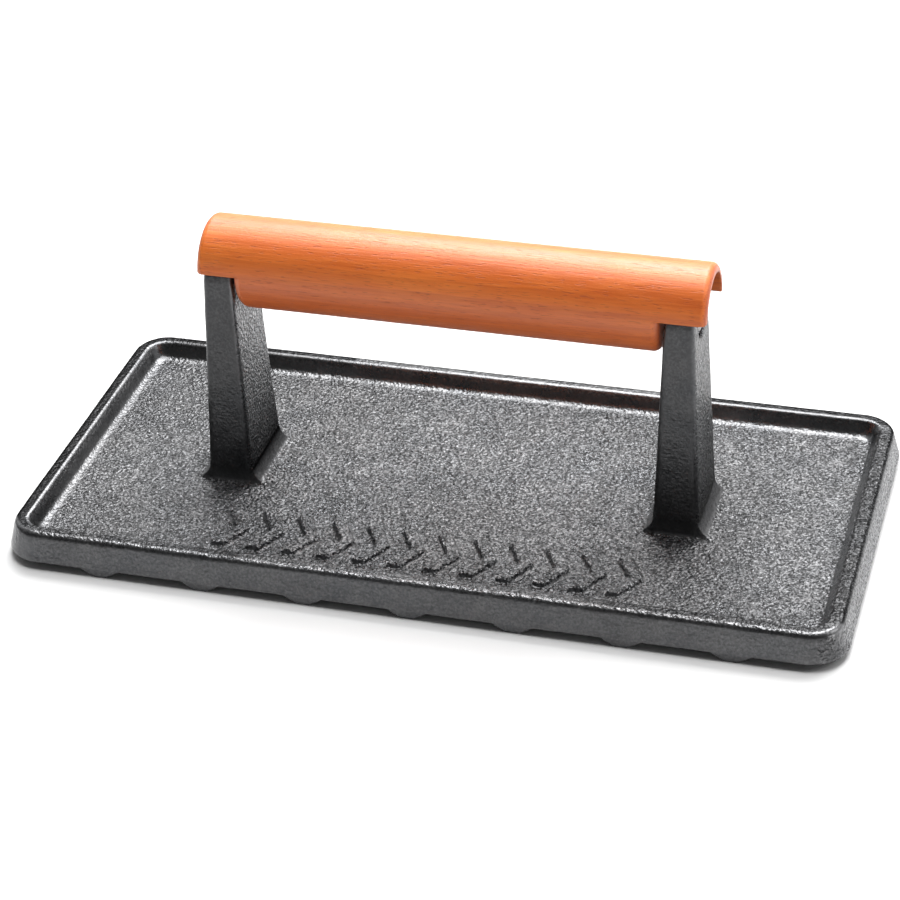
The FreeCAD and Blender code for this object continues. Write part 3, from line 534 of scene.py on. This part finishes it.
def casting_painted_light(co, nr, short, masks):
    """Painted light and shade on the iron by region, as a brightness factor, 1 where nothing
    changes it.
    """
    x, y, z = co.T
    nx = nr[:, 0]
    face_x, face_y = np.abs(nx), np.abs(nr[:, 1])
    flank, low = masks.flank, masks.low
    # painted shade and light on the posts: darker toward their feet and lighter toward their
    # tops, most of all on the faces turned to the middle; their front and back faces are
    # painted darker
    height = np.clip((z - FLOOR_Z) / 0.052, 0, 1)
    post = rise(z, 0.0075, 0.0110) * (np.abs(x) > POST_X)
    inner = np.where(x * nx < 0, 1.0, 0.0)
    side = inner * (-0.72 + 1.52 * height) + (1 - inner) * (-0.50 + 0.38 * height)
    painted_light = 1 + post * (flank * -0.27 + (1 - flank) * side)
    # painted light: the base's front and back faces, and the faces toward the ends, are
    # lighter
    painted_light = painted_light + (1 - post) * flank * low * 0.18 + short * 0.30
    # painted highlight on the rim's edges that face the front, and inward on the left
    fore = np.maximum(-nr[:, 1], np.where(x < 0, nx, 0.0))
    lip = low * rise(z, 0.0080, 0.0090)
    painted_light = painted_light + lip * rise(fore, 0.10, 0.20) * fall(fore, 0.60, 0.80) * 1.1
    # painted shade on top of the back and left rims
    dark = back_left(x, y, start=0.0075, full=0.0065)
    painted_light = painted_light - lip * dark * fall(fore, 0.08, 0.14) * 0.34
    # painted shade on rim edges that slope toward either end
    beside = rise(face_x, 0.30, 0.45) * fall(face_x, 0.70, 0.85) * fall(face_y, 0.25, 0.5)
    painted_light = painted_light - lip * beside * (masks.gap < 0.0045) * 0.42
    # painted light low on the rim, and painted shade on the inner face of the left wall
    sole = masks.brim * fall(z, 0.0072, 0.0078) * rise(fore, 0.10, 0.18)
    painted_light = painted_light + sole * fall(fore, 0.45, 0.65) * (0.6 - 0.42 * rise(nx, 0.05, 0.15))
    return painted_light - 0.52 * masks.wall * (x < 0) * rise(nx, 0.45, 0.65)


def build_casting(material):
    """The CAD casting re-skinned, with soft uneven sand-cast surfaces."""
    cast = remeshed("press_casting", "iron_casting", CAST_VOXEL)
    mesh = cast.data
    relax(mesh, 3)
    onto_cad(mesh, "press_casting", reach=0.0012)
    relax(mesh, 1)
    masks = ease_edges(mesh)

    co, nr = coords(mesh), normals(mesh)
    bend = bend_of(mesh, CAST_VOXEL)
    x, y, z = co.T
    masks.flank = rise(np.abs(nr[:, 1]), 0.82, 0.93)
    masks.low = fall(z, RIM_Z + 0.0002, RIM_Z + 0.001)
    inside = (fall(np.abs(x), HALF_X - 0.0068, HALF_X - 0.0058)
              * fall(np.abs(y), HALF_Y - 0.0068, HALF_Y - 0.0058))
    wall = masks.low * rise(z, FLOOR_Z + 0.0003, FLOOR_Z + 0.0009) * inside
    wall = wall * fall(nr[:, 2], 0.80, 0.95) * (np.hypot(x, y) > 0.03)
    masks.wall = np.where(in_strip(x, y), 0.0, wall)

    grit = casting_grit(co, nr, bend, masks)
    co = co + nr * casting_relief(co, bend, grit, masks)[:, None]
    co[:, 2] = np.maximum(co[:, 2], 0.0)
    set_coords(mesh, co)

    # faces toward the ends, below the rim's top
    short = rise(np.abs(nr[:, 0]), 0.7, 0.9) * fall(co[:, 2], RIM_Z - 0.0005, RIM_Z + 0.0005)
    set_attribute(mesh, "bend", bend)
    set_attribute(mesh, "flank", masks.flank)
    set_attribute(mesh, "grit", grit * (1 + 0.35 * short))
    set_attribute(mesh, "painted_light", casting_painted_light(co, nr, short, masks))
    shade_smooth(cast)
    assign(cast, material)
    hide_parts("press_casting")
    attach(cast, "root")


# ------------------------------------------------------------------------ grip
def build_grip(material):
    """The CAD grip re-skinned: round where it is round, edges eased."""
    grip = remeshed("wood_grip", "turned_grip", GRIP_VOXEL)
    mesh = grip.data
    relax(mesh, 3)
    onto_cad(mesh, "wood_grip", reach=0.0008)
    relax(mesh, 3)

    # pull what is nearly on the outer cylinder exactly onto it
    co = coords(mesh)
    y, z = co[:, 1], co[:, 2] - GRIP_Z
    radius = np.hypot(y, z)
    on_round = fall(np.abs(radius - GRIP_RADIUS), 0.00004, 0.00016)
    factor = 1 + on_round * (GRIP_RADIUS - radius) / np.maximum(radius, 1e-6)
    co[:, 1], co[:, 2] = y * factor, GRIP_Z + z * factor
    set_coords(mesh, co)
    relax(mesh, 2)

    # slight waves, long in X, on the outer surface only
    co, nr = coords(mesh), normals(mesh)
    bend = bend_of(mesh, GRIP_VOXEL)
    outer = rise(np.hypot(co[:, 1], co[:, 2] - GRIP_Z), 0.0105, 0.0115)
    drawn_out = co * np.array([0.25, 1, 1])
    relief = (0.045e-3 * value_noise(drawn_out, size=0.009, seed=21)
              + 0.020e-3 * value_noise(drawn_out, size=0.0035, seed=22))
    set_coords(mesh, co + nr * (relief * outer)[:, None])

    set_attribute(mesh, "bend", bend)
    set_attribute(mesh, "ends", rise(np.abs(nr[:, 0]), 0.55, 0.9))
    # painted shade: how much the surface faces down
    set_attribute(mesh, "under", rise(-nr[:, 2], -0.25, 0.85))
    shade_smooth(grip)
    assign(grip, material)
    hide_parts("wood_grip")
    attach(grip, "root")


# ----------------------------------------------------------------------- stage
WHITE = (1, 1, 1, 1)


def floor_material():
    """Pale floor that, seen by the camera, runs out into the plain white background."""
    material, s = new_material("pale_floor")
    pale = s.add("ShaderNodeBsdfPrincipled", Roughness=0.7, Base_Color=(0.75, 0.75, 0.75, 1))
    white = s.add("ShaderNodeEmission", Strength=1.0, Color=WHITE)
    reach = s.add("ShaderNodeVectorMath", operation="LENGTH", Vector=s.coordinate())
    far = s.times(s.remap(reach.outputs["Value"], span=(0.22, 0.75)), s.camera_ray())
    s.surface(s.mix_shaders(far, pale.outputs["BSDF"], white.outputs["Emission"]))
    return material


def build_floor():
    bpy.ops.mesh.primitive_plane_add(size=6.0, location=(0, 0, 0))
    floor = bpy.context.object
    floor.name = "floor"
    assign(floor, floor_material())


# name, place, point aimed at, (width, height), watts
LIGHTS = [
    ("key_back", (0.05, 0.85, 1.11), (0, 0, 0), (1.2, 0.6), 30),
    ("top_soft", (0.05, 0.18, 1.34), (0, 0, 0), (1.0, 0.6), 13),
    ("right_soft", (1.2, 0.15, 0.95), (0, 0, 0.02), (0.5, 0.5), 3),
    ("front_low", (0.1, -1.9, 0.30), (0, 0, 0.01), (1.8, 0.4), 1.0),
]


def build_lights():
    for name, place, aim, size, power in LIGHTS:
        light = bpy.data.lights.new(name, "AREA")
        light.shape = "RECTANGLE"
        light.size, light.size_y = size
        light.energy = power
        ob = bpy.data.objects.new(name, light)
        ob.location = place
        ob.visible_camera = False
        direction = Vector(aim) - Vector(place)
        ob.rotation_euler = direction.to_track_quat("-Z", "Y").to_euler()
        bpy.context.scene.collection.objects.link(ob)


def build_world():
    """Studio surround: bright behind, dark on the camera's side; plain white when
    seen directly."""
    world = bpy.data.worlds.new("studio")
    bpy.context.scene.world = world
    s = Shader(world)
    axes = s.separate(s.coordinate("Generated"))
    behind = s.remap(s.plus(axes["Y"], s.times(axes["X"], 0.15)), span=(-0.05, 0.5))
    # the bright band fades toward the horizon and higher up
    band = s.times(s.remap(axes["Z"], span=(0.52, 0.68), to=(1.5, 0.3)),
                   s.remap(axes["Z"], span=(0.10, 0.30), to=(0.15, 1.0)))
    level = s.plus(0.11, s.times(behind, band))
    studio, plain = (
        s.add("ShaderNodeBackground", Strength=1.0, Color=color).outputs["Background"]
        for color in (level, WHITE))
    s.surface(s.mix_shaders(s.camera_ray(), studio, plain), kind="ShaderNodeOutputWorld")


def build_camera():
    data = bpy.data.cameras.new("photo_camera")
    camera = bpy.data.objects.new("photo_camera", data)
    bpy.context.scene.collection.objects.link(camera)
    # columns: the camera's right, up and backward directions, then its place
    camera.matrix_world = Matrix((
        (0.9660468941, -0.1100586872, 0.2337530401, 0.17919463),
        (0.2567076565, 0.5112394881, -0.8202044653, -0.59827699),
        (-0.0292331579, 0.8523621714, 0.5221342273, 0.41611099),
        (0, 0, 0, 1)))
    data.sensor_width = 36.0
    data.lens = 111.21486
    data.shift_x = -0.044444444
    data.shift_y = -0.061111111
    data.clip_start = 0.01
    data.clip_end = 50
    bpy.context.scene.camera = camera


# -------------------------------------------------------------------- assembly
iron = iron_material()
wood = wood_material()
steel = steel_material("zinc_steel", brightness=0.45, roughness=0.36, tint=(1.0, 0.99, 0.96))
spring = steel_material("spring_steel", brightness=0.30, roughness=0.42,
                        tint=(0.96, 0.98, 1.0))

build_casting(iron)
build_grip(wood)
for part, metal in (("screw", steel), ("washer", spring)):
    for side in ("left", "right"):
        assign(NODES[f"{side}_{part}"], metal)

build_floor()
build_lights()
build_world()
build_camera()

view = bpy.context.scene.view_settings
view.view_transform = "Standard"
view.look = "None"
